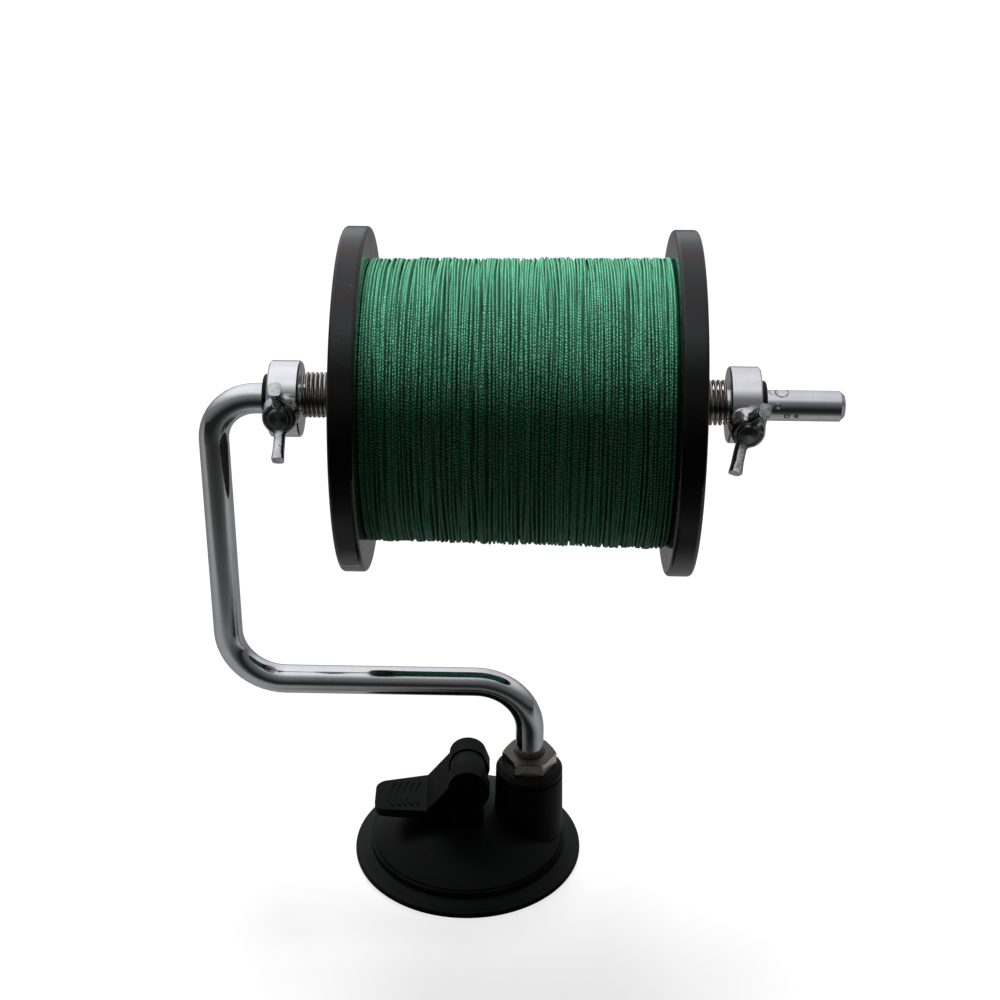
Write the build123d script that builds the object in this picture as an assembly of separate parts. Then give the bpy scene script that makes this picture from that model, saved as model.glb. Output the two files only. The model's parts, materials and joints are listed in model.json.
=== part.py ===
from build123d import *
import math
import os

# Bench winder for fishing line, in millimetres.
# The origin is the middle of the suction pad's underside, +X runs along the shaft to its
# free end, +Z is up. A bent rod stands in a post on the pad's cover, and a spool of line
# turns on the rod's shaft between two collars that hold springs against it.

# ---- rod -----------------------------------------------------------------------------
rod_diameter = 10.0
shaft_height = 179.8
shaft_end_x = 122.5
upright_x = -83.5
lower_arm_height = 71.7
upper_bend_radius = 15.0
lower_bend_radius = 19.5
shaft_chamfer = 1.5
tail_chamfer = 1.0

# ---- base ----------------------------------------------------------------------------
base_turn = 1.5
post_offset = 22.3
pad_radius = 41.4
pad_edge_height = 2.8
pad_seal_width = 10.0
pad_hollow = 2.8
pad_edge_round = 0.6
pad_boss_radius = 10.0
pad_boss_height = 7.6
cover_radius = 35.7
cover_foot_height = 4.8
cover_lip_height = 2.0
cover_step = 1.4
cover_step_rise = 0.4
cover_crown_height = 19.6
cover_wall = 2.4
seat_height = 23.4
seat_front = 5.8
seat_half_width = 11.4
seat_corner = 2.0
guide_radius = 8.0
guide_bottom = 10.6
post_top_radius = 12.0
post_foot_radius = 12.6
post_top_height = 37.2
post_bottom_height = 9.4
post_chamfer = 1.5
post_ring_depth = 0.4
post_ring_width = 0.8
post_ring_below_top = 3.4
insert_radius = 7.0
insert_length = 22.0
rod_depth_in_insert = 20.0

# ---- stem, pin and lever -------------------------------------------------------------
stem_radius = 4.5
stem_foot_radius = 9.0
stem_foot_thickness = 1.6
pin_height = 34.0
pin_radius = 2.0
pin_inset = 0.5
eye_radius = 6.2
eye_side_gap = 0.3
lever_width = 22.0
ear_radius = 6.8
ear_thickness = 7.3
cam_lift = 2.4
lever_swing = 85.0
cam_heel = 6.8
lever_slot_gap = 0.7
paddle_root = 14.85
paddle_length = 33.75
paddle_root_drop = 10.0
paddle_tip_drop = 11.1
paddle_thickness = 3.1
paddle_tip_width = 16.4
paddle_corner = 4.5
heel_drop = 13.5
heel_back = 9.6
ridge_count = 5
ridge_pitch = 2.3
ridge_from_tip = 5.0
ridge_radius = 13.5
ridge_half_span = 6.8
ridge_width = 0.9
ridge_height = 0.35

# ---- jam nut -------------------------------------------------------------------------
nut_across_flats = 17.0
nut_thickness = 5.3
nut_corner_cut = 1.1

# ---- collars, washers and wing screws ------------------------------------------------
collar_radius = 12.5
collar_width = 10.0
collar_chamfer = 0.5
washer_radius = 8.0
washer_thickness = 2.2
washer_round = 0.8
left_spring_length = 14.4
right_spring_length = 11.35
spring_outer_diameter = 15.0
spring_wire = 1.0
left_spring_turns = 9
right_spring_turns = 6.5
spring_seat_gap = 0.15
stud_radius = 3.0
stud_cap_radius = 3.55
stud_cap_thickness = 0.6
stud_tip_gap = 0.1
hub_radius = 5.3
hub_base_radius = 6.2
hub_length = 6.5
hub_collar_gap = 0.5
wing_thickness = 3.5
wing_depth = 4.6
wing_root_radius = 3.6
wing_root_rise = 3.4
wing_tip_radius = 11.55
wing_tip_rise = 11.6
wing_root_angle = 36.0
wing_edge_round = 0.8
left_screw_dip = -4.0
right_screw_dip = 4.5
left_wing_turn = 0.0
right_wing_turn = 19.0

# ---- spool and line ------------------------------------------------------------------
spool_left_face = -39.3
flange_radius = 56.0
flange_thickness = 8.0
flange_round = 1.2
winding_width = 96.7
core_outer_radius = 20.0
core_wall = 3.0
spigot_length = 6.0
line_radius_left = 45.6
line_radius_right = 46.9
line_tube = 3.5
line_turns = 23
line_side_gap = 0.3
line_seat_gap = 0.05

# ---- clearances ----------------------------------------------------------------------
slide_fit = 0.1
turn_fit = 0.05

# ---- places worked out from the sizes above --------------------------------------------
rod_radius = rod_diameter / 2
post_x = post_offset * math.cos(math.radians(base_turn))
rod_y = post_offset * math.sin(math.radians(base_turn))
spool_right_face = spool_left_face + 2 * flange_thickness + winding_width
left_spring_start = spool_left_face - left_spring_length
left_collar_x = left_spring_start - collar_width / 2
right_collar_x = spool_right_face + right_spring_length + collar_width / 2
cam_reach = pin_height - seat_height
cam_slope = cam_lift / math.radians(lever_swing)
base_frame = Rot(0, 0, base_turn)


def along_x(radius, x_from, length):
    """Cylinder around the shaft's axis, from x_from on."""
    body = Cylinder(radius, length, align=(Align.CENTER, Align.CENTER, Align.MIN))
    return Pos(x_from, rod_y, shaft_height) * Rot(0, 90, 0) * body


def standing(radius, z_from, z_to, x=0.0, y=0.0):
    """Upright cylinder between two heights."""
    body = Cylinder(radius, z_to - z_from, align=(Align.CENTER, Align.CENTER, Align.MIN))
    return Pos(x, y, z_from) * body


def rims(part, radius):
    """Circular edges of one radius."""
    return [e for e in part.edges().filter_by(GeomType.CIRCLE) if abs(e.radius - radius) < 1e-4]


def turned(points):
    """Solid turned about Z from (radius, height) points."""
    outline = Polyline(*[(r, 0, z) for r, z in points], close=True)
    return revolve(make_face(outline), axis=Axis.Z)


# ---- base pieces -----------------------------------------------------------------------
def suction_pad():
    seal_inner = pad_radius - pad_seal_width
    cover_inner = cover_radius - cover_wall
    profile = [
        (0, pad_hollow),
        (pad_boss_radius, pad_hollow),
        (seal_inner, 0),
        (pad_radius - pad_edge_round, 0),
        (pad_radius, pad_edge_round),
        (pad_radius, pad_edge_height - pad_edge_round),
        (pad_radius - pad_edge_round, pad_edge_height),
        (cover_radius + pad_edge_round, cover_foot_height),
        (cover_inner, cover_foot_height),
        (pad_boss_radius, pad_boss_height),
        (0, pad_boss_height),
    ]
    return turned(profile)


def dome_profile(radius, crown, foot):
    """Arc of a dome from its crown down to a radius at a foot height, and its end points."""
    sphere = (radius ** 2 + (crown - foot) ** 2) / (2 * (crown - foot))
    half = math.asin(radius / sphere) / 2
    middle = (sphere * math.sin(half), 0, crown - sphere * (1 - math.cos(half)))
    return ThreePointArc((0, 0, crown), middle, (radius, 0, foot)), sphere


def cover_shell():
    lip_top = cover_foot_height + cover_lip_height
    dome_radius = cover_radius - cover_step
    dome_foot = lip_top + cover_step_rise
    outer, sphere = dome_profile(dome_radius, cover_crown_height, dome_foot)
    inner_crown = cover_crown_height - cover_wall
    centre = cover_crown_height - sphere
    inner_radius = math.sqrt((sphere - cover_wall) ** 2 - (cover_foot_height - centre) ** 2)
    inner, _ = dome_profile(inner_radius, inner_crown, cover_foot_height)
    rim = Polyline(
        (dome_radius, 0, dome_foot),
        (dome_radius, 0, lip_top),
        (cover_radius, 0, lip_top),
        (cover_radius, 0, cover_foot_height),
        (inner_radius, 0, cover_foot_height),
    )
    stem_line = Line((0, 0, inner_crown), (0, 0, cover_crown_height))
    outline = Wire([*outer.edges(), *rim.edges(), *inner.edges(), stem_line.edge()])
    return revolve(make_face(outline), axis=Axis.Z)


def post():
    """Upright boss that takes the threaded insert, with a ring groove under its top edge."""
    height = post_top_height - post_bottom_height
    body = Cone(post_foot_radius, post_top_radius, height, align=(Align.CENTER, Align.CENTER, Align.MIN))
    body = Pos(0, 0, post_bottom_height) * body
    body = chamfer(body.edges().group_by(Axis.Z)[-1], post_chamfer)
    ring_z = post_top_height - post_ring_below_top
    ring = standing(post_foot_radius + 1, ring_z - post_ring_width, ring_z)
    ring -= standing(post_top_radius - post_ring_depth, ring_z - post_ring_width, ring_z)
    return Pos(post_offset, 0, 0) * (body - ring)


def base_cover():
    seat_bottom = cover_crown_height - cover_wall
    seat = Box(
        2 * seat_front, 2 * seat_half_width, seat_height - seat_bottom,
        align=(Align.CENTER, Align.CENTER, Align.MIN),
    )
    seat = fillet(seat.edges().filter_by(Axis.Z), seat_corner)
    guide = standing(guide_radius, guide_bottom, seat_bottom + cover_wall / 2)
    cover = cover_shell() + Pos(0, 0, seat_bottom) * seat + guide + post()
    cover -= standing(stem_radius + slide_fit, guide_bottom - 1, seat_height + 1)
    cover -= standing(insert_radius, post_top_height - insert_length, post_top_height + 1, post_offset)
    return base_frame * cover


def threaded_insert():
    bottom = post_top_height - insert_length
    body = standing(insert_radius, bottom, post_top_height)
    body -= standing(rod_radius + turn_fit, bottom - 1, post_top_height + 1)
    return base_frame * (Pos(post_offset, 0, 0) * body)


# ---- stem, pin and lever -----------------------------------------------------------------
def across(radius, length):
    """Cylinder on the lever pin's axis."""
    return Pos(0, 0, pin_height) * Rot(90, 0, 0) * Cylinder(radius, length)


def pad_stem():
    eye_length = lever_width - 2 * (ear_thickness + eye_side_gap)
    foot_top = pad_boss_height + stem_foot_thickness
    flats = Box(2 * stem_radius, eye_length, pin_height * 2)
    neck = standing(stem_radius, seat_height, pin_height) & flats
    shank = standing(stem_radius, foot_top, seat_height) + neck
    stem = standing(stem_foot_radius, pad_boss_height, foot_top) + shank + across(eye_radius, eye_length)
    return base_frame * (stem - across(pin_radius, lever_width))


def lever_pin():
    return base_frame * across(pin_radius, lever_width - 2 * pin_inset)


def cam_point(swing):
    """Point of the cam that meets the flat seat when the lever has swung by an angle."""
    reach = cam_reach - cam_slope * math.radians(swing)
    angle = math.radians(swing - 90)
    x = reach * math.cos(angle) + cam_slope * math.sin(angle)
    z = reach * math.sin(angle) - cam_slope * math.cos(angle)
    return (x, 0, z)


def lever_outline():
    """Side view of the lever about its pin: flat heel, cam, round ear, arm and paddle."""
    cam_steps = [lever_swing * i / 6 for i in range(7)]
    cam = [cam_point(s) for s in cam_steps]
    arcs = [ThreePointArc(cam[i], cam[i + 1], cam[i + 2]) for i in (0, 2, 4)]
    end_x, _, end_z = cam[-1]
    tangent = math.atan2(end_z, end_x) + math.acos(ear_radius / math.hypot(end_x, end_z))
    ear_start = (ear_radius * math.cos(tangent), 0, ear_radius * math.sin(tangent))
    arm_start = (-ear_radius, 0, 0)
    middle = (tangent + math.pi) / 2
    ear_top = (ear_radius * math.cos(middle), 0, ear_radius * math.sin(middle))
    ear = ThreePointArc(ear_start, ear_top, arm_start)
    arm = Polyline(
        arm_start,
        (-paddle_root, 0, -paddle_root_drop),
        (-paddle_length, 0, -paddle_tip_drop),
        (-paddle_length, 0, -paddle_tip_drop - paddle_thickness),
        (-heel_back, 0, -heel_drop),
        (-cam_heel, 0, -cam_reach),
        cam[0],
    )
    edges = [e for arc in arcs for e in arc.edges()]
    return Wire([*edges, Line(cam[-1], ear_start).edge(), *ear.edges(), *arm.edges()])


def thumb_ridges():
    """Low arcs across the top of the paddle that bulge towards its tip."""
    strip = Polyline(
        (-paddle_root, 0, ridge_height - paddle_root_drop),
        (-paddle_length, 0, ridge_height - paddle_tip_drop),
        (-paddle_length, 0, -paddle_tip_drop - paddle_thickness / 2),
        (-paddle_root, 0, -paddle_root_drop - paddle_thickness / 2),
        close=True,
    )
    strip = extrude(make_face(strip), ridge_half_span, both=True, dir=(0, 1, 0))
    ridges = []
    for i in range(ridge_count):
        centre = ridge_from_tip + i * ridge_pitch + ridge_radius - paddle_length
        ring = Cylinder(ridge_radius + ridge_width / 2, 2 * paddle_length)
        ring -= Cylinder(ridge_radius - ridge_width / 2, 3 * paddle_length)
        ridges.append(strip & (Pos(centre, 0, 0) * ring))
    return ridges


def cam_lever():
    half = lever_width / 2
    body = extrude(make_face(lever_outline()), half, both=True, dir=(0, 1, 0))
    front = 2 * cam_reach
    plan = Polyline(
        (front, -half), (-paddle_root, -half), (-paddle_length, -paddle_tip_width / 2),
        (-paddle_length, paddle_tip_width / 2), (-paddle_root, half), (front, half), close=True,
    )
    plan = extrude(make_face(plan), 4 * cam_reach, both=True)
    tip = [e for e in plan.edges().filter_by(Axis.Z) if e.center().X < -paddle_length + 0.01]
    plan = fillet(tip, paddle_corner)
    body = body & plan
    slot_width = lever_width - 2 * ear_thickness
    slot_radius = eye_radius + lever_slot_gap
    round_slot = Rot(90, 0, 0) * Cylinder(slot_radius, slot_width)
    open_slot = Box(front, slot_width, 4 * cam_reach, align=(Align.MIN, Align.CENTER, Align.CENTER))
    body -= round_slot + Pos(-stem_radius - lever_slot_gap, 0, 0) * open_slot
    body -= Rot(90, 0, 0) * Cylinder(pin_radius + turn_fit, lever_width + 1)
    for ridge in thumb_ridges():
        body += ridge
    return base_frame * (Pos(0, 0, pin_height) * body)


# ---- rod and nut ---------------------------------------------------------------------------
def bent_rod():
    """One bar bent in a plane, from its tail in the base to the free end of the shaft."""
    tail_z = post_top_height - rod_depth_in_insert
    corners = [
        (post_x, rod_y, tail_z),
        (post_x, rod_y, lower_arm_height),
        (upright_x, rod_y, lower_arm_height),
        (upright_x, rod_y, shaft_height),
        (shaft_end_x, rod_y, shaft_height),
    ]
    path = FilletPolyline(*corners, radius=[lower_bend_radius, lower_bend_radius, upper_bend_radius])
    rod = sweep(Plane(corners[0]) * Circle(rod_radius), path=path)
    shaft_rim = [e for e in rims(rod, rod_radius) if abs(e.center().X - shaft_end_x) < 1e-3]
    rod = chamfer(shaft_rim, shaft_chamfer)
    tail_rim = [e for e in rims(rod, rod_radius) if abs(e.center().Z - tail_z) < 1e-3]
    return chamfer(tail_rim, tail_chamfer)


def jam_nut():
    corner_radius = nut_across_flats / math.sqrt(3)
    body = extrude(RegularPolygon(corner_radius, 6), nut_thickness)
    cut = Cylinder(corner_radius, nut_thickness, align=(Align.CENTER, Align.CENTER, Align.MIN))
    cut = chamfer(cut.edges(), nut_corner_cut * math.tan(math.radians(30)), nut_corner_cut)
    body = body & cut
    body -= Cylinder(rod_radius, 3 * nut_thickness)
    return Pos(post_x, rod_y, post_top_height) * body


# ---- collars, washers, springs and wing screws -----------------------------------------------
def collar(centre_x, dip):
    body = along_x(collar_radius, centre_x - collar_width / 2, collar_width)
    body = chamfer(rims(body, collar_radius), collar_chamfer)
    body -= along_x(rod_radius + slide_fit, centre_x - collar_width, 2 * collar_width)
    hole = Cylinder(stud_radius + turn_fit, collar_radius + 1, align=(Align.CENTER, Align.CENTER, Align.MIN))
    return body - screw_plane(centre_x, dip, 0) * hole


def washer(x_from):
    body = along_x(washer_radius, x_from, washer_thickness)
    body = fillet(rims(body, washer_radius), washer_round)
    return body - along_x(rod_radius + slide_fit, x_from - 1, washer_thickness + 2)


def screw_plane(centre_x, dip, wing_turn):
    """Plane on a collar's middle: Z runs out along the screw, X along its upper wing."""
    d = math.radians(dip)
    t = math.radians(wing_turn)
    outward = Vector(0, -math.cos(d), -math.sin(d))
    up = Vector(0, -math.sin(d), math.cos(d))
    wing = up * math.cos(t) + Vector(1, 0, 0) * math.sin(t)
    return Plane(origin=(centre_x, rod_y, shaft_height), x_dir=wing, z_dir=outward)


def screw_stud(centre_x, dip):
    """Stud from just off the shaft to the round cap that shows in the middle of the head."""
    head_face = collar_radius + hub_collar_gap + hub_length
    body = standing(stud_radius, rod_radius + stud_tip_gap, head_face)
    cap = standing(stud_cap_radius, head_face, head_face + stud_cap_thickness)
    cap = chamfer(cap.edges().group_by(Axis.Z)[-1], stud_cap_thickness / 2)
    return screw_plane(centre_x, dip, 0) * (body + cap)


def wing():
    """One horn: a rounded bar that leaves the hub at an angle and bends further out."""
    lean = math.radians(wing_root_angle)
    root = Vector(wing_root_radius, 0, wing_root_rise)
    tip = Vector(wing_tip_radius, 0, wing_tip_rise)
    path = Edge.make_tangent_arc(root, Vector(math.cos(lean), 0, math.sin(lean)), tip)
    frame = Plane(origin=root, x_dir=(0, 1, 0), z_dir=path % 0)
    return sweep(frame * RectangleRounded(wing_thickness, wing_depth, wing_edge_round), path=Wire([path]))


def wing_head(centre_x, dip, wing_turn):
    base = collar_radius + hub_collar_gap
    hub = Cone(hub_base_radius, hub_radius, hub_length, align=(Align.CENTER, Align.CENTER, Align.MIN))
    head = hub + wing() + Rot(0, 0, 180) * wing()
    head -= Cylinder(stud_radius + turn_fit, 3 * hub_length)
    head -= standing(stud_cap_radius + turn_fit, hub_length, 2 * hub_length)
    return screw_plane(centre_x, dip, wing_turn) * (Pos(0, 0, base) * head)


def biarc(p1, t1, p2, t2):
    """Two arcs that meet smoothly and join two points with their given directions."""
    v = p2 - p1
    t = t1 + t2
    spread = 2 * (1 - t1.dot(t2))
    d = (math.sqrt(v.dot(t) ** 2 + spread * v.dot(v)) - v.dot(t)) / spread
    middle = (p1 + p2 + (t1 - t2) * d) * 0.5
    turn = ((p2 - t2 * d) - (p1 + t1 * d)).normalized()
    return [Edge.make_tangent_arc(p1, t1, middle), Edge.make_tangent_arc(middle, turn, p2)]


def winding(x_start, x_end, turns, tube, radius_start, radius_end):
    """One unbroken tube wound about the shaft's axis, straight for one diameter at each end."""
    rise = (x_end - x_start) / (2 * math.pi * turns)
    swell = (radius_end - radius_start) / (2 * math.pi * turns)

    def point(a):
        r = radius_start + swell * a
        return Vector(x_start + rise * a, rod_y - r * math.sin(a), shaft_height + r * math.cos(a))

    def direction(a):
        r = radius_start + swell * a
        y = -swell * math.sin(a) - r * math.cos(a)
        z = swell * math.cos(a) - r * math.sin(a)
        return Vector(rise, y, z).normalized()

    halves = round(2 * turns)
    angles = [i * math.pi for i in range(halves + 1)]
    first = point(0) - direction(0) * tube
    last = point(angles[-1]) + direction(angles[-1]) * tube
    edges = [Edge.make_line(first, point(0))]
    for a, b in zip(angles, angles[1:]):
        edges += biarc(point(a), direction(a), point(b), direction(b))
    edges.append(Edge.make_line(point(angles[-1]), last))
    solid = sweep(Plane(origin=first, z_dir=direction(0)) * Circle(tube / 2), path=Wire(edges))
    steps = 24
    route = [first] + [point(i * 2 * math.pi / steps) for i in range(round(steps * turns) + 1)] + [last]
    apart = steps // 2
    gap = min((p - q).length for i, p in enumerate(route) for q in route[i + apart:]) - tube
    print(f"winding of {turns} turns: least gap to itself {gap:.3f} mm")
    return solid


def tension_spring(x_from, length, turns):
    inset = spring_seat_gap + spring_wire / 2
    radius = (spring_outer_diameter - spring_wire) / 2
    return winding(x_from + inset, x_from + length - inset, turns, spring_wire, radius, radius)


# ---- spool and line ----------------------------------------------------------------------------
def spool_flange(outer_x, inward):
    """Flange with the spigot that carries the core; inward is +1 or -1 along X."""
    inner_x = outer_x + inward * flange_thickness
    end_x = inner_x + inward * spigot_length
    body = along_x(flange_radius, min(outer_x, inner_x), flange_thickness)
    body = fillet(rims(body, flange_radius), flange_round)
    body += along_x(core_outer_radius - core_wall, min(inner_x, end_x), spigot_length)
    bore_length = flange_thickness + spigot_length + 2
    return body - along_x(rod_radius + slide_fit, min(outer_x, end_x) - 1, bore_length)


def spool_core():
    inner_x = spool_left_face + flange_thickness
    tube = along_x(core_outer_radius, inner_x, winding_width)
    return tube - along_x(core_outer_radius - core_wall, inner_x - 1, winding_width + 2)


def line_core():
    """The line under its outermost turns, as one plain drum that swells to the right."""
    inner_x = spool_left_face + flange_thickness
    under = line_tube + line_seat_gap
    body = Cone(
        line_radius_left - under, line_radius_right - under, winding_width,
        align=(Align.CENTER, Align.CENTER, Align.MIN),
    )
    body = Pos(inner_x, rod_y, shaft_height) * Rot(0, 90, 0) * body
    return body - along_x(core_outer_radius, inner_x - 1, winding_width + 2)


def line_outer_layer():
    inset = line_side_gap + line_tube / 2
    x_start = spool_left_face + flange_thickness + inset
    x_end = spool_right_face - flange_thickness - inset
    left = line_radius_left - line_tube / 2
    right = line_radius_right - line_tube / 2
    return winding(x_start, x_end, line_turns, line_tube, left, right)


# ---- files -------------------------------------------------------------------------------------
nodes = {
    "suction_pad": suction_pad(),
    "base_cover": base_cover(),
    "threaded_insert": threaded_insert(),
    "pad_stem": pad_stem(),
    "lever_pin": lever_pin(),
    "cam_lever": cam_lever(),
    "bent_rod": bent_rod(),
    "jam_nut": jam_nut(),
    "left_washer": washer(left_collar_x - collar_width / 2 - washer_thickness),
    "right_washer": washer(right_collar_x + collar_width / 2),
    "left_collar": collar(left_collar_x, left_screw_dip),
    "right_collar": collar(right_collar_x, right_screw_dip),
    "left_tension_spring": tension_spring(left_spring_start, left_spring_length, left_spring_turns),
    "right_tension_spring": tension_spring(spool_right_face, right_spring_length, right_spring_turns),
    "left_screw_stud": screw_stud(left_collar_x, left_screw_dip),
    "right_screw_stud": screw_stud(right_collar_x, right_screw_dip),
    "left_wing_head": wing_head(left_collar_x, left_screw_dip, left_wing_turn),
    "right_wing_head": wing_head(right_collar_x, right_screw_dip, right_wing_turn),
    "spool_flange_left": spool_flange(spool_left_face, 1),
    "spool_flange_right": spool_flange(spool_right_face, -1),
    "spool_core": spool_core(),
    "line_core": line_core(),
    "line_outer_layer": line_outer_layer(),
}

os.makedirs("parts", exist_ok=True)
for name, shape in nodes.items():
    export_step(shape, f"parts/{name}.step")
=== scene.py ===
"""Looks of a bench winder for fishing line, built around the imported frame.

Lengths are metres unless a comment says millimetres. X runs along the shaft to its free end, -Y is the
front and Z is up.
"""

import json
import math

import bpy
import numpy as np
from mathutils import Matrix, Vector, noise


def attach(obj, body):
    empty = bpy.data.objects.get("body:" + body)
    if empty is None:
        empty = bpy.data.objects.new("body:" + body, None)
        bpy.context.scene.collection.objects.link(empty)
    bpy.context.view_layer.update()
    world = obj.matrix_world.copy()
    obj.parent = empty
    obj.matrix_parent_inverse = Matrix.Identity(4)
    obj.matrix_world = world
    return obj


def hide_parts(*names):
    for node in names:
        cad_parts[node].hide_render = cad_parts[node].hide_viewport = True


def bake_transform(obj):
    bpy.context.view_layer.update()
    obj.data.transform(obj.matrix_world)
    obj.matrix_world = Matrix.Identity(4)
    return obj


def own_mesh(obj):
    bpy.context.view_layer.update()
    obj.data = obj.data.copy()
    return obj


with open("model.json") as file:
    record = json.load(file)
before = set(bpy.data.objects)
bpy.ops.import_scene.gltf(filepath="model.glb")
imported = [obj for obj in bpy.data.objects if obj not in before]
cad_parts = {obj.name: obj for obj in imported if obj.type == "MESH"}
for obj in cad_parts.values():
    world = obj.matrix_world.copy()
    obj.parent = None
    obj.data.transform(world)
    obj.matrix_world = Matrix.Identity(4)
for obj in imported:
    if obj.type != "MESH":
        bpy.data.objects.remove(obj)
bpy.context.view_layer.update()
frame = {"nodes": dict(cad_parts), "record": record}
nodes = frame["nodes"]

# ---- places and sizes that the solids have too ---------------------------------------------
MM = 0.001
FULL_TURN = 2 * math.pi

BASE_TURN = math.radians(1.5)
POST_REACH = 22.3  # millimetres from the pad's middle
POST = Vector((POST_REACH * math.cos(BASE_TURN), POST_REACH * math.sin(BASE_TURN), 0)) * MM
SHAFT_Y = POST.y
SHAFT_Z = 179.8 * MM
SHAFT_RADIUS = 5 * MM
NUT_TOP = 42.5 * MM
FLANGE_INNER = (-31.3 * MM, 65.4 * MM)

# each clamp screw's place along the shaft, and how far its outer end dips
SCREWS = {"left": (-58.7 * MM, math.radians(-4.0)), "right": (89.75 * MM, math.radians(4.5))}

# a wing head's horn, in millimetres, and its shares across the screw and outward along it
HORN_LENGTH = 11.42
HORN_ACROSS, HORN_OUTWARD = 7.95 / HORN_LENGTH, 8.2 / HORN_LENGTH


def screw_direction(dip):
    """Direction in which a clamp screw points out of its collar."""
    return 0, -math.cos(dip), -math.sin(dip)


# ---- shader helpers ------------------------------------------------------------------------
def add(tree, kind, values=(), **settings):
    """New node. values maps an input's name or index to a socket to link or a value to set."""
    made = tree.nodes.new(kind)
    for key, value in settings.items():
        setattr(made, key, value)
    for key, value in dict(values).items():
        if isinstance(value, bpy.types.NodeSocket):
            tree.links.new(value, made.inputs[key])
        else:
            made.inputs[key].default_value = value
    return made


def math_node(tree, operation, a, b=0.0, clamp=False):
    return add(tree, "ShaderNodeMath", {0: a, 1: b}, operation=operation, use_clamp=clamp).outputs[0]


def plus(tree, a, b, clamp=False):
    return math_node(tree, "ADD", a, b, clamp)


def minus(tree, a, b):
    return math_node(tree, "SUBTRACT", a, b)


def times(tree, a, b, clamp=False):
    return math_node(tree, "MULTIPLY", a, b, clamp)


def above(tree, value, limit):
    """1 where the value is over the limit, otherwise 0."""
    return math_node(tree, "GREATER_THAN", value, limit)


def below(tree, value, limit):
    """1 where the value is under the limit, otherwise 0."""
    return math_node(tree, "LESS_THAN", value, limit)


def vector_node(tree, operation, a, b=(0, 0, 0)):
    made = add(tree, "ShaderNodeVectorMath", {0: a, 1: b}, operation=operation)
    gives_number = operation in ("LENGTH", "DISTANCE", "DOT_PRODUCT")
    return made.outputs["Value" if gives_number else "Vector"]


def coordinate(tree, vector, axis):
    return add(tree, "ShaderNodeSeparateXYZ", {0: vector}).outputs[axis]


def object_place(tree):
    return add(tree, "ShaderNodeTexCoord").outputs["Object"]


def noise_field(tree, place, scale, detail):
    values = {"Vector": place, "Scale": scale, "Detail": detail}
    return add(tree, "ShaderNodeTexNoise", values).outputs[0]


def map_range(tree, value, start, end, low=0.0, high=1.0):
    """Goes from low to high while the value goes from start to end, and stays there beyond."""
    values = {"Value": value, "From Min": start, "From Max": end, "To Min": low, "To Max": high}
    return add(tree, "ShaderNodeMapRange", values).outputs[0]


def thin_ring(tree, distance, radius, edge, core):
    """Mask of a ring at a radius: 1 within core of it, fading to 0 at edge from it."""
    off = math_node(tree, "ABSOLUTE", minus(tree, distance, radius))
    return map_range(tree, off, edge, core)


def ramp(tree, value, stops):
    """Colour ramp; stops are (position, grey or colour)."""
    made = add(tree, "ShaderNodeValToRGB", {0: value})
    elements = made.color_ramp.elements
    while len(elements) < len(stops):
        elements.new(0.5)
    for element, (position, colour) in zip(elements, stops):
        element.position = position
        element.color = (*colour, 1) if isinstance(colour, tuple) else (colour, colour, colour, 1)
    return made.outputs["Color"]


def mix(tree, factor, a, b):
    """Colour a where the factor is 0 and b where it is 1."""
    made = add(tree, "ShaderNodeMix", {"Factor": factor}, data_type="RGBA")
    for index, value in ((6, a), (7, b)):
        if isinstance(value, bpy.types.NodeSocket):
            tree.links.new(value, made.inputs[index])
        else:
            made.inputs[index].default_value = (*value, 1)
    return made.outputs[2]


def bump(tree, height, distance, strength):
    """Bump node; its output is a normal."""
    return add(tree, "ShaderNodeBump", {"Strength": strength, "Height": height, "Distance": distance})


def paint_over(tree, shader, mask, colour):
    """Colour laid over the shader's present base colour where the mask is 1."""
    present = shader.inputs["Base Color"].links[0].from_socket
    tree.links.new(mix(tree, mask, present, colour), shader.inputs["Base Color"])


def press_in(tree, shader, height, distance, strength):
    """Bump laid over the shader's present normal."""
    made = bump(tree, height, distance, strength)
    tree.links.new(shader.inputs["Normal"].links[0].from_socket, made.inputs["Normal"])
    tree.links.new(made.outputs[0], shader.inputs["Normal"])


# ---- shared finishes: shader node groups -----------------------------------------------------
def new_group(name, inputs, outputs):
    """Shader node group with (name, default) number inputs and (name, kind) outputs."""
    group = bpy.data.node_groups.new(name, "ShaderNodeTree")
    for label, default in inputs:
        socket = group.interface.new_socket(label, in_out="INPUT", socket_type="NodeSocketFloat")
        socket.default_value = default
    for label, kind in outputs:
        group.interface.new_socket(label, in_out="OUTPUT", socket_type="NodeSocket" + kind)
    return group, group.nodes.new("NodeGroupInput"), group.nodes.new("NodeGroupOutput")


def use_group(tree, group, values):
    return add(tree, "ShaderNodeGroup", values, node_tree=group)


def make_grain_group():
    """Moulded or cast grain: fine pits over a soft unevenness."""
    inputs = [("Scale", 900.0), ("Depth", 0.1)]
    group, gin, gout = new_group("grain", inputs, [("Value", "Float"), ("Normal", "Vector")])
    place = object_place(group)
    fine = noise_field(group, place, scale=gin.outputs["Scale"], detail=4.0)
    broad = noise_field(group, place, scale=55.0, detail=3.0)
    both = plus(group, fine, times(group, broad, 0.8))
    pits = bump(group, both, distance=0.3 * MM, strength=gin.outputs["Depth"])
    group.links.new(broad, gout.inputs["Value"])
    group.links.new(pits.outputs[0], gout.inputs["Normal"])
    return group


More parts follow.
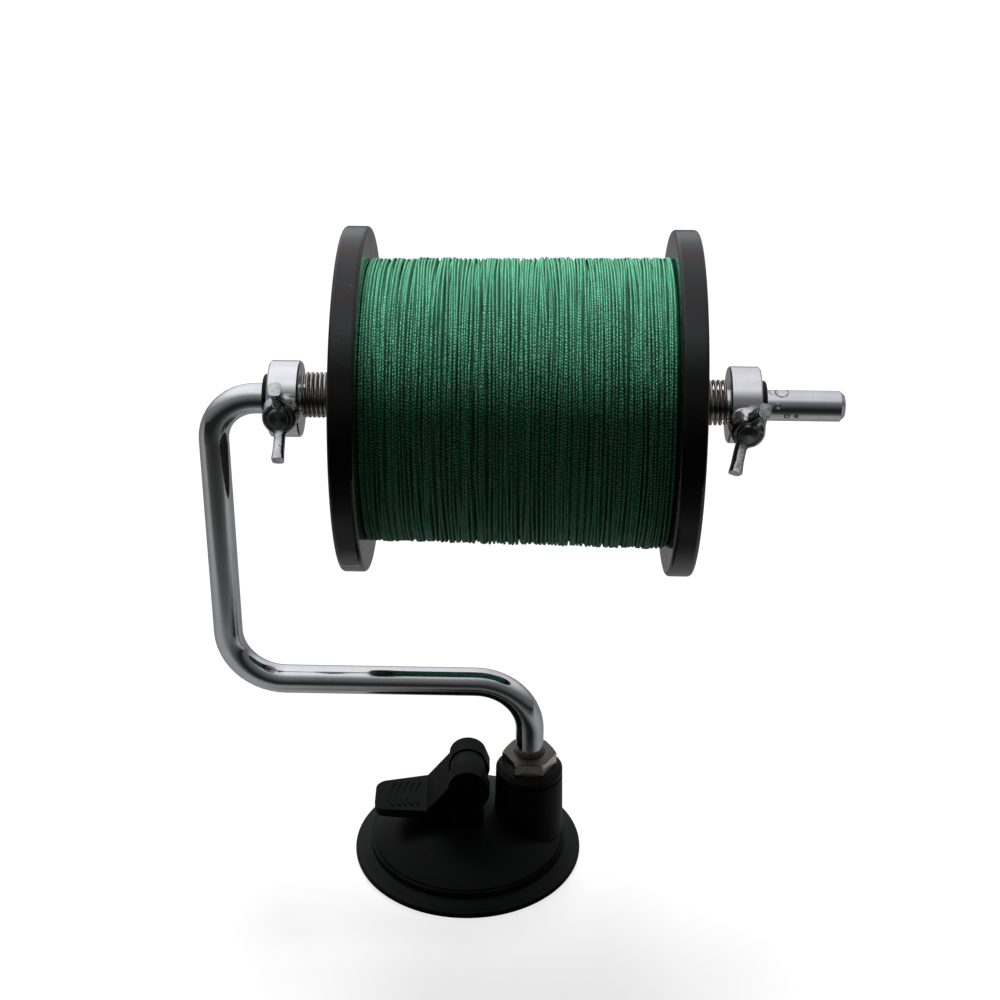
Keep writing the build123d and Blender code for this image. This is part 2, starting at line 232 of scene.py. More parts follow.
def make_turned_group():
    """Lathe marks about the shaft's axis: fine rings on faces and round the outside."""
    group, gin, gout = new_group("turned", [("Scale", 4000.0), ("Depth", 0.1)], [("Normal", "Vector")])
    from_axis = vector_node(group, "SUBTRACT", object_place(group), (0, SHAFT_Y, SHAFT_Z))
    radial = vector_node(group, "LENGTH", vector_node(group, "MULTIPLY", from_axis, (0, 1, 1)))
    along = coordinate(group, from_axis, "X")
    track = add(group, "ShaderNodeCombineXYZ", {0: along, 1: radial, 2: 0.0}).outputs[0]
    rings = noise_field(group, track, scale=gin.outputs["Scale"], detail=3.0)
    cuts = bump(group, rings, distance=0.05 * MM, strength=gin.outputs["Depth"])
    group.links.new(cuts.outputs[0], gout.inputs["Normal"])
    return group


def make_scuff_group():
    """Sparse light scratches and dust specks."""
    outputs = [("Scratches", "Float"), ("Specks", "Float")]
    group, gin, gout = new_group("scuffs", [("Amount", 0.5)], outputs)
    place = object_place(group)

    bent = add(group, "ShaderNodeTexNoise", {"Vector": place, "Scale": 40.0}).outputs["Color"]
    moved = vector_node(group, "ADD", place, vector_node(group, "MULTIPLY", bent, (0.02, 0.02, 0.02)))
    cells = add(group, "ShaderNodeTexVoronoi", {"Vector": moved, "Scale": 190.0}, feature="DISTANCE_TO_EDGE")
    thin = below(group, cells.outputs["Distance"], 0.012)
    some = above(group, noise_field(group, place, scale=120.0, detail=1.0), 0.62)
    scratches = times(group, times(group, thin, some), gin.outputs["Amount"])
    group.links.new(scratches, gout.inputs["Scratches"])

    dots = add(group, "ShaderNodeTexVoronoi", {"Vector": place, "Scale": 260.0})
    near = below(group, dots.outputs["Distance"], 0.045)
    lot = add(group, "ShaderNodeSeparateColor", {0: dots.outputs["Color"]}).outputs[0]
    specks = times(group, times(group, near, above(group, lot, 0.9)), gin.outputs["Amount"])
    group.links.new(specks, gout.inputs["Specks"])
    return group


GRAIN, TURNED, SCUFFS = make_grain_group(), make_turned_group(), make_scuff_group()


# ---- materials, one for each slot of the record ------------------------------------------------
materials = {}
DUST_GREY = (0.10, 0.10, 0.10)


def new_material(slot):
    """New material for a slot, as its node tree and its shader."""
    material = bpy.data.materials.new(slot)
    material.use_nodes = True
    materials[slot] = material
    return shader_of(slot)


def shader_of(slot):
    tree = materials[slot].node_tree
    return tree, tree.nodes["Principled BSDF"]


def scaled(colour, share):
    return tuple(c * share for c in colour)


def plastic(slot, colour, roughness, grain, depth, dust, shine):
    """Moulded plastic or rubber with grain, uneven gloss and a few light specks."""
    tree, shader = new_material(slot)
    moulded = use_group(tree, GRAIN, {"Scale": grain, "Depth": depth})
    scuffs = use_group(tree, SCUFFS, {"Amount": dust})
    worn = tuple(min(1.0, c * 1.9 + 0.001) for c in colour)
    base = mix(tree, moulded.outputs["Value"], colour, worn)
    faint = times(tree, scuffs.outputs["Scratches"], 0.25)
    marked = plus(tree, scuffs.outputs["Specks"], faint, clamp=True)
    tree.links.new(mix(tree, marked, base, DUST_GREY), shader.inputs["Base Color"])
    gloss = map_range(tree, moulded.outputs["Value"], 0.0, 1.0, roughness - 0.07, roughness + 0.1)
    tree.links.new(gloss, shader.inputs["Roughness"])
    tree.links.new(moulded.outputs["Normal"], shader.inputs["Normal"])
    shader.inputs["Specular IOR Level"].default_value = shine


def metal(slot, colour, roughness, finish, scale, depth, scuff, dark):
    """Bare or plated metal: finish marks from a group, patches of duller gloss and scuffs."""
    tree, shader = new_material(slot)
    marks = use_group(tree, finish, {"Scale": scale, "Depth": depth})
    scratches = use_group(tree, SCUFFS, {"Amount": scuff}).outputs["Scratches"]
    cloud = noise_field(tree, object_place(tree), scale=140.0, detail=5.0)
    patches = ramp(tree, cloud, [(0.35, 0.0), (0.7, 1.0)])
    base = mix(tree, patches, colour, scaled(colour, dark))
    tree.links.new(mix(tree, scratches, base, scaled(colour, 0.45)), shader.inputs["Base Color"])
    gloss = map_range(tree, cloud, 0.3, 0.7, roughness * 0.75, roughness * 1.35)
    dull = plus(tree, gloss, times(tree, scratches, 0.3), clamp=True)
    tree.links.new(dull, shader.inputs["Roughness"])
    tree.links.new(marks.outputs["Normal"], shader.inputs["Normal"])
    shader.inputs["Metallic"].default_value = 1.0


def braid(slot, deep, bright):
    """Braided line. U runs along the strand in plait lengths and V runs round it from its outward side."""
    tree, shader = new_material(slot)
    uv = add(tree, "ShaderNodeTexCoord").outputs["UV"]
    along, around = coordinate(tree, uv, "X"), coordinate(tree, uv, "Y")
    place = object_place(tree)

    # the plaits slant one way in some patches and the other way in the rest
    patches = above(tree, noise_field(tree, place, scale=650.0, detail=1.0), 0.5)
    slant = minus(tree, times(tree, patches, 5.2), 2.6)
    centred = minus(tree, math_node(tree, "FRACT", plus(tree, around, 0.5)), 0.5)
    phase = plus(tree, along, times(tree, centred, slant))
    wave = math_node(tree, "SINE", times(tree, phase, FULL_TURN))
    plait = plus(tree, times(tree, wave, 0.5), 0.5)
    sharp = map_range(tree, plait, 0.3, 0.8)

    # painted shade: bright on the outward side, darker on the flanks and in the grooves between plaits, with
    # uneven streaks and flecks
    folded = math_node(tree, "PINGPONG", times(tree, around, 2.0), 0.5)
    flank_shade = map_range(tree, folded, 0.42, 0.12, low=0.05)
    plaited = times(tree, plus(tree, sharp, 0.16), flank_shade)
    streaked = vector_node(tree, "MULTIPLY", place, (1100.0, 90.0, 90.0))
    streak = noise_field(tree, streaked, scale=1.0, detail=1.0)
    fleck = noise_field(tree, place, scale=1500.0, detail=1.0)
    uneven = plus(tree, times(tree, streak, 1.3), times(tree, fleck, 1.5))
    level = times(tree, plaited, minus(tree, uneven, 0.35), clamp=True)
    tree.links.new(mix(tree, level, deep, bright), shader.inputs["Base Color"])

    raised = bump(tree, plait, distance=0.25 * MM, strength=0.8)
    tree.links.new(raised.outputs[0], shader.inputs["Normal"])
    shade = noise_field(tree, place, scale=260.0, detail=3.0)
    tree.links.new(map_range(tree, shade, 0.0, 1.0, 0.42, 0.62), shader.inputs["Roughness"])
    shader.inputs["Sheen Weight"].default_value = 0.02
    shader.inputs["Sheen Roughness"].default_value = 0.4
    shader.inputs["Specular IOR Level"].default_value = 0.16


# ring marks on the shaft: x in millimetres, degrees up from the front, ring radius and line width in
# millimetres
SCREW_MARKS = [
    (101.9, 82, 2.1, 0.3),
    (103.7, -21, 0.75, 0.34),
    (106.7, -21, 0.45, 0.4),
    (100.6, 21, 0.8, 0.24),
    (99.2, 84, 1.4, 0.16),
]
MARK_CORE = 0.4  # share of a line's width that is full strength
# heights above the nut over which the painted shade on the rod's foot fades out
FOOT_LOW, FOOT_HIGH = NUT_TOP + 3.2 * MM, NUT_TOP + 3.8 * MM
FOOT_RAGGEDNESS = 3 * MM


def mark_rod(slot):
    """Ring marks that the clamp screws' tips have pressed into the shaft, and painted shade on the rod's
    foot.
    """
    tree, shader = shader_of(slot)
    place = object_place(tree)
    ragged = noise_field(tree, place, scale=900.0, detail=2.0)
    rings = []
    for x, angle, radius, width in SCREW_MARKS:
        t = math.radians(angle)
        y, z = SHAFT_Y - SHAFT_RADIUS * math.cos(t), SHAFT_Z + SHAFT_RADIUS * math.sin(t)
        away = vector_node(tree, "DISTANCE", place, (x * MM, y, z))
        rings.append(thin_ring(tree, away, radius * MM, width * MM, width * MARK_CORE * MM))
    pressed = rings[0]
    for ring in rings[1:]:
        pressed = math_node(tree, "MAXIMUM", pressed, ring)
    broken = times(tree, pressed, above(tree, ragged, 0.42), clamp=True)
    paint_over(tree, shader, times(tree, broken, 0.85), (0.05, 0.05, 0.055))
    press_in(tree, shader, pressed, distance=0.2 * MM, strength=0.7)

    # painted shade on the rod's foot where it goes into the nut, with a ragged edge
    height = plus(tree, coordinate(tree, place, "Z"), times(tree, ragged, FOOT_RAGGEDNESS))
    foot = map_range(tree, height, FOOT_HIGH, FOOT_LOW)
    paint_over(tree, shader, times(tree, foot, 0.7), (0.15, 0.147, 0.13))


STUD_RING_RADIUS = 2.95 * MM
STUD_RING_EDGE, STUD_RING_CORE = 0.16 * MM, 0.05 * MM
STUD_RING_DEPTH = 0.35
STUD_SLOPE = -230.0


def dish_studs(slot):
    """Shallow cone turned into the round ends of the clamp screws, with a fine ring near the edge."""
    tree, shader = shader_of(slot)
    place = object_place(tree)
    radii = []
    for x, dip in SCREWS.values():
        arm = vector_node(tree, "SUBTRACT", place, (x, SHAFT_Y, SHAFT_Z))
        across = vector_node(tree, "CROSS_PRODUCT", arm, screw_direction(dip))
        radii.append(vector_node(tree, "LENGTH", across))
    on_right = above(tree, coordinate(tree, place, "X"), 0.0)
    radius = plus(tree, radii[0], times(tree, minus(tree, radii[1], radii[0]), on_right))
    ring = thin_ring(tree, radius, STUD_RING_RADIUS, STUD_RING_EDGE, STUD_RING_CORE)
    height = minus(tree, times(tree, radius, STUD_SLOPE), times(tree, ring, STUD_RING_DEPTH))
    press_in(tree, shader, height, distance=1 * MM, strength=1.0)


# heights over which the nut's top face is painted darker as shade
NUT_SHADE_FROM, NUT_SHADE_TO = NUT_TOP - 0.9 * MM, NUT_TOP - 0.2 * MM
# the painted shadow ring at the edge of the nut's mouth
MOUTH_RADIUS = 5.4 * MM
MOUTH_EDGE, MOUTH_CORE = 0.28 * MM, 0.12 * MM


def paint_shade_on_nut_top(slot):
    """Rough-turned top face of the nut, painted darker than its bright flats as shade, with a painted shadow
    ring at the edge of its mouth.
    """
    tree, shader = shader_of(slot)
    place = object_place(tree)
    top = map_range(tree, coordinate(tree, place, "Z"), NUT_SHADE_FROM, NUT_SHADE_TO)
    # painted shade on the nut's top face
    paint_over(tree, shader, top, (0.13, 0.118, 0.10))
    from_rod = vector_node(tree, "SUBTRACT", place, POST)
    reach = vector_node(tree, "LENGTH", vector_node(tree, "MULTIPLY", from_rod, (1, 1, 0)))
    mouth_shadow = thin_ring(tree, reach, MOUTH_RADIUS, MOUTH_EDGE, MOUTH_CORE)
    # painted shadow ring round the rod in the nut's mouth
    paint_over(tree, shader, times(tree, mouth_shadow, top), (0.004, 0.004, 0.003))
    present = shader.inputs["Roughness"].links[0].from_socket
    rougher = plus(tree, present, times(tree, top, 0.2), clamp=True)
    tree.links.new(rougher, shader.inputs["Roughness"])


plastic("pad_rubber", (0.0013, 0.0018, 0.0014), roughness=0.46,
        grain=700.0, depth=0.10, dust=0.3, shine=0.12)
plastic("base_plastic", (0.0012, 0.0018, 0.0012), roughness=0.38,
        grain=1400.0, depth=0.08, dust=0.10, shine=0.09)
metal("insert_brass", (0.62, 0.47, 0.22), roughness=0.3,
      finish=GRAIN, scale=900.0, depth=0.1, scuff=0.3, dark=0.75)
plastic("stem_plastic", (0.0012, 0.0014, 0.0012), roughness=0.45,
        grain=1200.0, depth=0.08, dust=0.1, shine=0.08)
metal("pin_steel", (0.012, 0.012, 0.013), roughness=0.5,
      finish=GRAIN, scale=900.0, depth=0.05, scuff=0.3, dark=0.75)
plastic("lever_plastic", (0.0011, 0.0016, 0.0011), roughness=0.46,
        grain=1300.0, depth=0.10, dust=0.10, shine=0.05)
metal("rod_chrome", (0.80, 0.81, 0.83), roughness=0.07,
      finish=GRAIN, scale=500.0, depth=0.012, scuff=0.35, dark=0.93)
mark_rod("rod_chrome")
metal("nut_stainless", (0.92, 0.87, 0.77), roughness=0.26,
      finish=GRAIN, scale=1500.0, depth=0.08, scuff=0.5, dark=0.8)
paint_shade_on_nut_top("nut_stainless")
plastic("washer_rubber", (0.002, 0.002, 0.002), roughness=0.5,
        grain=1000.0, depth=0.1, dust=0.1, shine=0.2)
metal("collar_aluminium", (0.88, 0.89, 0.91), roughness=0.15,
      finish=TURNED, scale=5200.0, depth=0.10, scuff=0.3, dark=0.94)
metal("spring_steel", (0.64, 0.59, 0.53), roughness=0.16,
      finish=GRAIN, scale=1800.0, depth=0.05, scuff=0.2, dark=0.75)
metal("stud_steel", (0.27, 0.28, 0.28), roughness=0.24,
      finish=GRAIN, scale=1600.0, depth=0.05, scuff=0.3, dark=0.7)
dish_studs("stud_steel")
metal("wing_cast", (0.70, 0.71, 0.69), roughness=0.05,
      finish=GRAIN, scale=430.0, depth=1.0, scuff=0.5, dark=0.6)
plastic("flange_plastic", (0.0007, 0.0008, 0.0009), roughness=0.13,
        grain=600.0, depth=0.03, dust=0.7, shine=0.5)
plastic("core_plastic", (0.004, 0.004, 0.0045), roughness=0.4,
        grain=900.0, depth=0.06, dust=0.2, shine=0.3)
braid("line_braid", deep=(0.0015, 0.03, 0.013), bright=(0.26, 0.95, 0.58))

for part in frame["record"]["subparts"]:
    for place in nodes[part["node"]].material_slots:
        place.material = materials[part["material_slot"]]


# ---- mesh helpers --------------------------------------------------------------------------
def mesh_object(name, points, faces, uvs=None):
    """Smooth-shaded object; uvs holds one pair for each point."""
    mesh = bpy.data.meshes.new(name)
    mesh.from_pydata([tuple(p) for p in points], [], faces)
    mesh.polygons.foreach_set("use_smooth", [True] * len(mesh.polygons))
    if uvs is not None:
        layer = mesh.uv_layers.new(name="UVMap")
        corner = np.empty(len(mesh.loops), int)
        mesh.loops.foreach_get("vertex_index", corner)
        layer.data.foreach_set("uv", np.asarray(uvs, np.float32)[corner].ravel())
    made = bpy.data.objects.new(name, mesh)
    bpy.context.collection.objects.link(made)
    return made


def ring_faces(rows, sides):
    """Faces between neighbouring rings of points, and a flat face at each end."""
    faces = []
    for row in range(rows - 1):
        a, b = row * sides, (row + 1) * sides
        for k in range(sides):
            n = (k + 1) % sides
            faces.append((a + k, a + n, b + n, b + k))
    faces.append(tuple(range(sides))[::-1])
    faces.append(tuple(range((rows - 1) * sides, rows * sides)))
    return faces


def work_in_modifiers(made):
    """Replaces the object's mesh by its modified shape, smooth shaded."""
    bpy.context.view_layer.update()
    depsgraph = bpy.context.evaluated_depsgraph_get()
    final = bpy.data.meshes.new_from_object(made.evaluated_get(depsgraph))
    made.modifiers.clear()
    made.data = final
    final.polygons.foreach_set("use_smooth", [True] * len(final.polygons))


def dress(made, body, slot, *replaced):
    """Material from a record slot, body and replaced nodes of a new piece."""
    made.data.materials.append(materials[slot])
    if body:
        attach(made, body)
    if replaced:
        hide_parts(*replaced)


def tube_mesh(name, path, radii, sides, uv_length, centre=(0, SHAFT_Y, SHAFT_Z), axis=0, phase=0.0):
    """Round tube along a path wound about an axis, with flat ends; U counts uv_lengths along it."""
    path = np.asarray(path)
    tangent = np.gradient(path, axis=0)
    tangent /= np.linalg.norm(tangent, axis=1)[:, None]
    outward = path - np.array(centre)
    outward[:, axis] = 0
    outward -= (outward * tangent).sum(1)[:, None] * tangent
    outward /= np.linalg.norm(outward, axis=1)[:, None]
    side = np.cross(tangent, outward)
    ring = np.arange(sides) * FULL_TURN / sides
    round_it = np.cos(ring)[None, :, None] * outward[:, None, :]
    round_it = round_it + np.sin(ring)[None, :, None] * side[:, None, :]
    points = (path[:, None, :] + radii[:, None, None] * round_it).reshape(-1, 3)

    steps = np.linalg.norm(np.diff(path, axis=0), axis=1)
    travelled = np.concatenate([[0], np.cumsum(steps)]) / uv_length + phase
    uvs = np.stack([np.repeat(travelled, sides), np.tile(np.arange(sides) / sides, len(path))], 1)
    return mesh_object(name, points, ring_faces(len(path), sides), uvs)


def around_shaft(x, radius, angle):
    """Points round the shaft; angle 0 is its top and a quarter turn is its front."""
    return np.stack([x, SHAFT_Y - radius * np.sin(angle), SHAFT_Z + radius * np.cos(angle)], -1)


# ---- the wound line ------------------------------------------------------------------------
STRAND = 0.95 * MM
PLAIT_LENGTH = 1.05 * MM
POINTS_A_TURN = 72
STRAND_SIDES = 8
FLANGE_MARGIN = STRAND * 0.6  # from the strand's middle to a flange
FIRST_ANGLE = 0.4
# turns, depth under the surface, and the way that the strand travels: 1 to the right, -1 back
PASSES = [(102, 1.2 * MM, 1), (98, 0.5 * MM, -1), (90.5, -0.2 * MM, 1)]
LEFT_RADIUS, RIGHTWARD_RISE = 45.6 * MM, 1.3 * MM
SLOW_DRIFT, QUICK_DRIFT = 1.7 * MM, 0.8 * MM
BROAD_HUMP, FINE_HUMP = 0.42 * MM, 0.34 * MM
DRIFT_FADE = 1 / 25  # share of a pass at each end, in which the drift fades
EVENED_POINTS = 9
TUCKED_POINTS, TUCK_DEPTH = 20, 1.6 * MM
SHIFTS, SHIFTS_A_TURN, LARGEST_SHIFT = 600, 2, 3


def wobble(a, b, c, scale):
    """Smooth noise from -scale to scale for arrays a and b; c picks one noise of many."""
    return np.array([noise.noise(Vector((float(i), float(j), float(c)))) for i, j in zip(a, b)]) * scale


def strand_pass(number, start_angle):
    """Places along the shaft, radii and angles of one pass of the strand across the spool."""
    turns, depth, way = PASSES[number]
    is_last = number == len(PASSES) - 1
    along = np.linspace(0, 1, int(turns * POINTS_A_TURN), endpoint=is_last)
    angle = start_angle + along * turns * FULL_TURN
    share = along if way > 0 else 1 - along
    turn = along * turns

    drift = wobble(turn * 0.33, np.sin(angle) * 0.8 + number * 5, number + 3.1, SLOW_DRIFT)
    drift += wobble(turn * 1.4, np.cos(angle) * 1.3, number + 9.7, QUICK_DRIFT)
    drift *= np.minimum(1, np.minimum(along, 1 - along) / DRIFT_FADE)
    left, right = FLANGE_INNER[0] + FLANGE_MARGIN, FLANGE_INNER[1] - FLANGE_MARGIN
    x = np.clip(left + share * (right - left) + drift, left, right)

    hump = wobble(share * 17, np.cos(angle) * 0.5, 4.4, BROAD_HUMP)
    hump += wobble(share * 75, np.sin(angle) * 0.7, number + 1.2, FINE_HUMP)
    surface = LEFT_RADIUS + RIGHTWARD_RISE * share - STRAND / 2
    return x, surface - depth + hump, angle


def wound_line():
    """One unbroken strand laid across the spool three times; its end is tucked in behind."""
    passes = []
    start_angle = FIRST_ANGLE
    for number, (turns, _, _) in enumerate(PASSES):
        passes.append(strand_pass(number, start_angle))
        start_angle += turns * FULL_TURN
    x, radius, angle = (np.concatenate(values) for values in zip(*passes))

    kernel = np.ones(EVENED_POINTS) / EVENED_POINTS
    radius = np.convolve(np.pad(radius, EVENED_POINTS // 2, "edge"), kernel, "valid")
    radius[-TUCKED_POINTS:] -= np.linspace(0, TUCK_DEPTH, TUCKED_POINTS)
    path = around_shaft(x, radius, angle)

    # the plaits are shifted unevenly along the strand, so that they don't line up across it
    turn = np.arange(len(path)) / POINTS_A_TURN
    shifts = np.random.default_rng(7).random(SHIFTS) * LARGEST_SHIFT
    phase = np.interp(turn * SHIFTS_A_TURN, np.arange(SHIFTS), shifts)
    radii = np.full(len(path), STRAND / 2)
    made = tube_mesh("wound_line", path, radii, STRAND_SIDES, PLAIT_LENGTH, phase=phase)
    dress(made, "spool", "line_braid", "line_outer_layer")


wound_line()


# ---- springs ----------------------------------------------------------------------------------
WIRE = 1.0 * MM
COIL_RADIUS = 7.0 * MM
WIRE_SIDES = 14
PLAIN_UV_LENGTH = 3 * MM
COIL_INSET = 0.65 * MM
POINTS_A_COIL = 64
SLACK_WAY = Vector((0, 0.4, 0.92))


def coil_spring(side, x_from, length, turns, slack):
    """Open spring of drawn wire between a flange and its collar, pushed up by its slack in millimetres."""
    lift = SLACK_WAY * slack * MM
    count = int(turns * POINTS_A_COIL) + 1
    angle = np.linspace(0, turns * FULL_TURN, count)
    x = np.linspace(x_from + COIL_INSET, x_from + length - COIL_INSET, count)
    path = around_shaft(x, np.full(count, COIL_RADIUS), angle) + np.array(lift)
    centre = (0, SHAFT_Y + lift.y, SHAFT_Z + lift.z)
    radii = np.full(count, WIRE / 2)
    made = tube_mesh(f"{side}_spring", path, radii, WIRE_SIDES, PLAIN_UV_LENGTH, centre)
    dress(made, None, "spring_steel", f"{side}_tension_spring")
    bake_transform(made)


coil_spring("left", -53.7 * MM, 14.4 * MM, turns=9, slack=1.35)
coil_spring("right", 73.4 * MM, 11.35 * MM, turns=6.5, slack=0.65)


# ---- suction pad --------------------------------------------------------------------------------
# (radius, height) in millimetres: the hollow underneath, the sealing ring, the round edge, the step
# inside it and the slope up to the middle
PAD_OUTLINE = [
    (3, 2.9), (10, 2.9), (20, 1.7), (30, 0.35),
    (31.4, 0.05), (33, 0.0), (36.5, 0.0), (40.2, 0.0),
    (40.9, 0.12), (41.25, 0.45), (41.38, 0.9), (41.38, 1.7), (41.25, 2.25), (40.9, 2.6), (40.4, 2.75),
    (39.6, 2.84), (39.2, 2.98), (38.6, 3.35), (37.6, 3.95), (36.9, 4.35), (36.4, 4.62), (35.6, 4.74),
    (33.2, 4.74), (24, 5.7), (10.2, 7.5), (3, 7.5),
]
PAD_SIDES = 160


def suction_pad():
    """Rubber pad turned about Z from its outline."""
    points = []
    for radius, height in PAD_OUTLINE:
        for k in range(PAD_SIDES):
            t = FULL_TURN * k / PAD_SIDES
            points.append((radius * math.cos(t) * MM, radius * math.sin(t) * MM, height * MM))
    made = mesh_object("pad", points, ring_faces(len(PAD_OUTLINE), PAD_SIDES))
    shape = made.modifiers.new("soft", "SUBSURF")
    shape.levels = shape.render_levels = 1
    work_in_modifiers(made)
    dress(made, "base", "pad_rubber", "suction_pad")
    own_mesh(made)


suction_pad()


# ---- wing screws and nut ------------------------------------------------------------------------
TIP_ZONE = 3 * MM
TIP_STRETCH = 2.1 * MM
CASTING_CELL = 0.22 * MM
SOFTENING, SOFTENING_STEPS = 0.5, 80
NOT_ZERO = 1e-9


def along_horns(mesh, side):
    """Corner points, their direction along the nearer horn, and their reach along it."""
    x, dip = SCREWS[side]
    outward = np.array(screw_direction(dip))
    points = np.empty(len(mesh.vertices) * 3)
    mesh.vertices.foreach_get("co", points)
    points = points.reshape(-1, 3)
    arm = points - np.array((x, SHAFT_Y, SHAFT_Z))
    across = arm - (arm @ outward)[:, None] * outward
    across /= np.linalg.norm(across, axis=1)[:, None] + NOT_ZERO
    way = HORN_ACROSS * across + HORN_OUTWARD * outward
    return points, way, (arm * way).sum(1)


def cast_head(side):
    """Wing head with the soft edges and blended roots of a casting, grown from the solid's shape.

    Softening draws the horns in, so their tips are pushed out before it and cut back to the solid's
    reach after it.
    """
    made = bpy.data.objects.new(f"{side}_cast_wings", nodes[f"{side}_wing_head"].data.copy())
    bpy.context.collection.objects.link(made)
    made.data.materials.clear()
    points, way, reach = along_horns(made.data, side)
    tip = reach.max()
    pushed = points + way * (reach > tip - TIP_ZONE)[:, None] * TIP_STRETCH
    made.data.vertices.foreach_set("co", pushed.ravel())

    cells = made.modifiers.new("cells", "REMESH")
    cells.mode = "VOXEL"
    cells.voxel_size = CASTING_CELL
    soften = made.modifiers.new("soften", "SMOOTH")
    soften.factor, soften.iterations = SOFTENING, SOFTENING_STEPS
    work_in_modifiers(made)
    points, way, reach = along_horns(made.data, side)
    cut_back = points - way * np.maximum(0, reach - tip)[:, None]
    made.data.vertices.foreach_set("co", cut_back.ravel())
    dress(made, f"{side}_wings", "wing_cast", f"{side}_wing_head")


CREST_RADIUS = 5.08 * MM
CREST_WIRE = 0.22 * MM
CREST_TURNS = 1.6
CREST_DROP = 0.12 * MM
CREST_RISE = 0.02 * MM  # for each radian
CREST_POINTS = 150
CREST_SIDES = 10


def thread_crest():
    """The last turns of the nut's thread that stand up round the rod in the nut's mouth."""
    angle = np.linspace(0, CREST_TURNS * FULL_TURN, CREST_POINTS)
    x, y = POST.x + CREST_RADIUS * np.cos(angle), POST.y + CREST_RADIUS * np.sin(angle)
    path = np.stack([x, y, NUT_TOP - CREST_DROP + angle * CREST_RISE], -1)
    to_end = np.minimum(angle, angle[-1] - angle)
    radii = CREST_WIRE * np.minimum(1, to_end * 1.5 + 0.15)
    made = tube_mesh("thread_crest", path, radii, CREST_SIDES, PLAIN_UV_LENGTH, tuple(POST), axis=2)
    dress(made, "arm", "nut_stainless")


cast_head("left")
cast_head("right")
thread_crest()


# ---- camera ----------------------------------------------------------------------------------
CAMERA_PLACE = Vector((0.02123, -0.52383, 0.41028))
PITCH, YAW, ROLL = (math.radians(v) for v in (26.9265, 1.1058, 0.3581))
SENSOR_WIDTH = 36.0  # millimetres
LENS = SENSOR_WIDTH * 1.757425
NEAREST_SEEN = 0.02


def place_camera():
    """Camera fitted to the outlines in the photograph."""
    level = math.cos(PITCH)
    forward = Vector((-math.sin(YAW) * level, math.cos(YAW) * level, -math.sin(PITCH)))
    right = Vector((math.cos(YAW), math.sin(YAW), 0))
    up = right.cross(forward)
    tilted_right = math.cos(ROLL) * right + math.sin(ROLL) * up
    tilted_up = -math.sin(ROLL) * right + math.cos(ROLL) * up
    data = bpy.data.cameras.new("camera")
    data.sensor_fit = "HORIZONTAL"
    data.sensor_width = SENSOR_WIDTH
    data.lens = LENS
    data.clip_start = NEAREST_SEEN
    camera = bpy.data.objects.new("camera", data)
    bpy.context.collection.objects.link(camera)
    turn = Matrix((tilted_right, tilted_up, -forward)).transposed()
    camera.matrix_world = Matrix.Translation(CAMERA_PLACE) @ turn.to_4x4()
    bpy.context.scene.camera = camera


# ---- lamps and world -------------------------------------------------------------------------
WHITE = (1, 1, 1)
# the world's brightness from low in front to high behind, which makes the long lights on round metal
SKY = [
    (0.0, 0.03), (0.2, 0.02), (0.32, 0.035), (0.44, 0.09), (0.54, 0.15),
    (0.62, 0.17), (0.70, 0.36), (0.77, 0.58), (0.83, 0.82), (1.0, 0.9),
]
SKY_WAY = (0.06, 0.46, 0.88)
# its faint blue and red bands, from the front to the back
TINTS = [
    (0.34, (0.96, 0.98, 1.0)), (0.45, (0.88, 0.91, 1.0)), (0.525, (1.0, 0.88, 0.87)),
    (0.60, (0.92, 0.94, 1.0)), (0.80, (0.93, 0.95, 1.0)), (0.865, (1.0, 0.81, 0.78)),
    (0.92, (0.83, 0.89, 1.0)), (1.0, (0.94, 0.96, 1.0)),
]
DIFFUSE_CUT = 0.94  # share of the world's light that matt surfaces don't get


def sun(name, towards, strength, spread):
    """Soft lamp that shines along a direction and isn't mirrored in gloss; spread is in degrees."""
    data = bpy.data.lights.new(name, "SUN")
    data.energy = strength
    data.angle = math.radians(spread)
    lamp = bpy.data.objects.new(name, data)
    bpy.context.collection.objects.link(lamp)
    lamp.rotation_euler = Vector(towards).to_track_quat("-Z", "Y").to_euler()
    lamp.visible_glossy = False


def studio_world():
    """White to the camera; gloss mirrors a shaded sky, and matt surfaces get little of its light."""
    world = bpy.data.worlds.new("studio")
    bpy.context.scene.world = world
    world.use_nodes = True
    tree = world.node_tree
    back = tree.nodes["Background"]
    ray = add(tree, "ShaderNodeLightPath")
    direction = add(tree, "ShaderNodeTexCoord").outputs["Generated"]
    height = vector_node(tree, "DOT_PRODUCT", direction, SKY_WAY)
    sky = ramp(tree, map_range(tree, height, -1.0, 1.0), SKY)
    tint = ramp(tree, map_range(tree, coordinate(tree, direction, "Y"), -1.0, 1.0), TINTS)
    left_to_right = map_range(tree, coordinate(tree, direction, "X"), -0.25, 0.25, 1.25, 0.8)
    level = add(tree, "ShaderNodeCombineXYZ", {axis: left_to_right for axis in range(3)}).outputs[0]
    mirrored = vector_node(tree, "MULTIPLY", vector_node(tree, "MULTIPLY", sky, tint), level)
    seen = mix(tree, ray.outputs["Is Camera Ray"], mirrored, WHITE)
    tree.links.new(seen, back.inputs["Color"])
    cut = times(tree, ray.outputs["Is Diffuse Ray"], DIFFUSE_CUT)
    tree.links.new(minus(tree, 1.0, cut), back.inputs["Strength"])


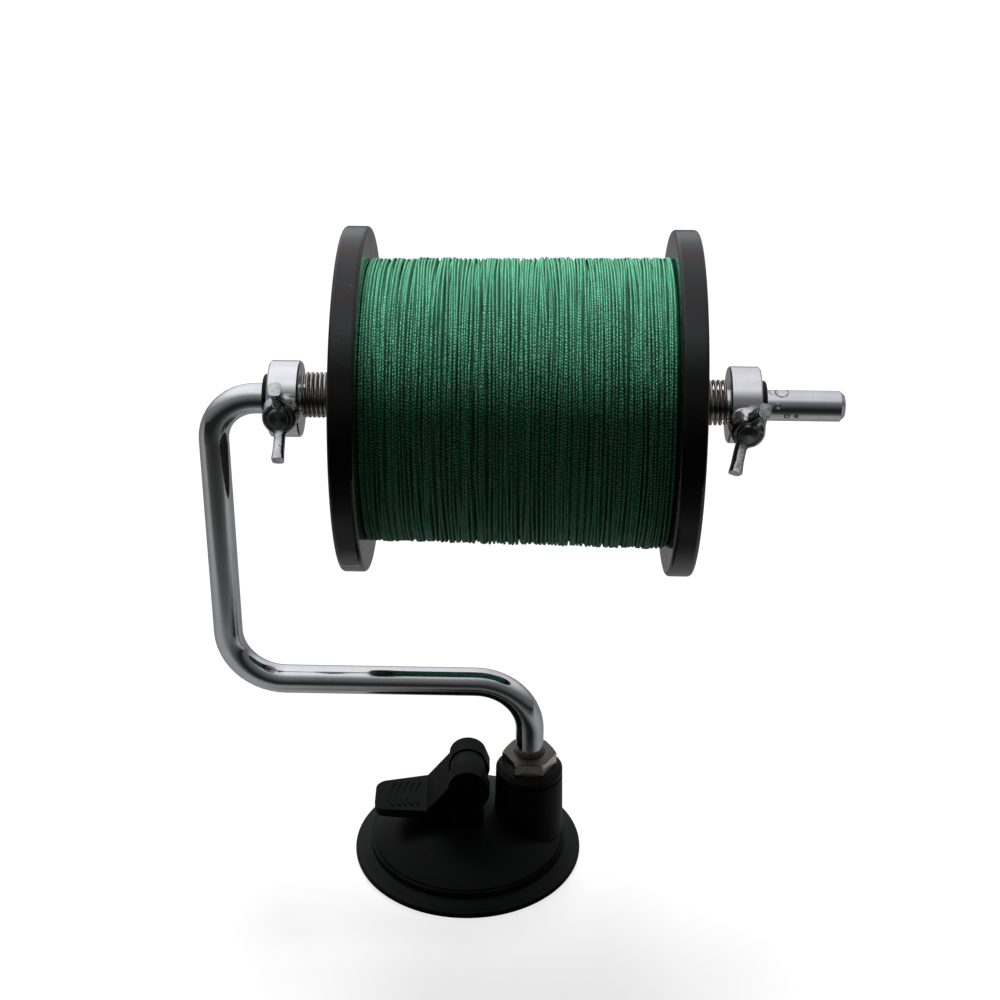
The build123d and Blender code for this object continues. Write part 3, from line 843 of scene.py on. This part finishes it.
# ---- floor -----------------------------------------------------------------------------------
FLOOR_HALF = 6.0
FLOOR_DROP = 0.02 * MM  # keeps the floor clear of the pad's sealing ring
FLOOR_GREY = (0.19, 0.19, 0.19, 1)
FLOOR_GLOW = 0.79
FLOOR_FRONT, FLOOR_BACK = -0.4, 0.3
# the floor's grey as gloss mirrors it, from FLOOR_FRONT to FLOOR_BACK
MIRRORED_FLOOR = [
    (0.0, 0.01), (0.2, 0.03), (0.32, 0.06), (0.42, 0.20),
    (0.52, 0.21), (0.7, 0.15), (1.0, 0.13),
]


def pale_floor():
    """Nearly white with the object's shadow to the camera, and grey to every other ray."""
    size = FLOOR_HALF
    corners = [(-size, -size, 0), (size, -size, 0), (size, size, 0), (-size, size, 0)]
    floor = mesh_object("floor", corners, [(0, 1, 2, 3)])
    floor.location.z = -FLOOR_DROP
    material = bpy.data.materials.new("floor")
    material.use_nodes = True
    tree = material.node_tree
    tree.nodes.remove(tree.nodes["Principled BSDF"])
    ray = add(tree, "ShaderNodeLightPath")
    depth = map_range(tree, coordinate(tree, object_place(tree), "Y"), FLOOR_FRONT, FLOOR_BACK)
    dim = add(tree, "ShaderNodeBsdfDiffuse", {"Color": ramp(tree, depth, MIRRORED_FLOOR)})
    matt = add(tree, "ShaderNodeBsdfDiffuse", {"Color": FLOOR_GREY})
    glow = add(tree, "ShaderNodeEmission", {"Color": (*WHITE, 1), "Strength": FLOOR_GLOW})
    pale = add(tree, "ShaderNodeAddShader", {0: matt.outputs[0], 1: glow.outputs[0]})
    choice = {0: ray.outputs["Is Camera Ray"], 1: dim.outputs[0], 2: pale.outputs[0]}
    seen = add(tree, "ShaderNodeMixShader", choice).outputs[0]
    tree.links.new(seen, tree.nodes["Material Output"].inputs["Surface"])
    floor.data.materials.append(material)


place_camera()
sun("key", (0.04, -0.43, -0.90), strength=5.2, spread=25)
sun("fill", (-0.25, 0.85, -0.45), strength=0.05, spread=70)
studio_world()
pale_floor()
scene = bpy.context.scene
scene.view_settings.view_transform = "Standard"
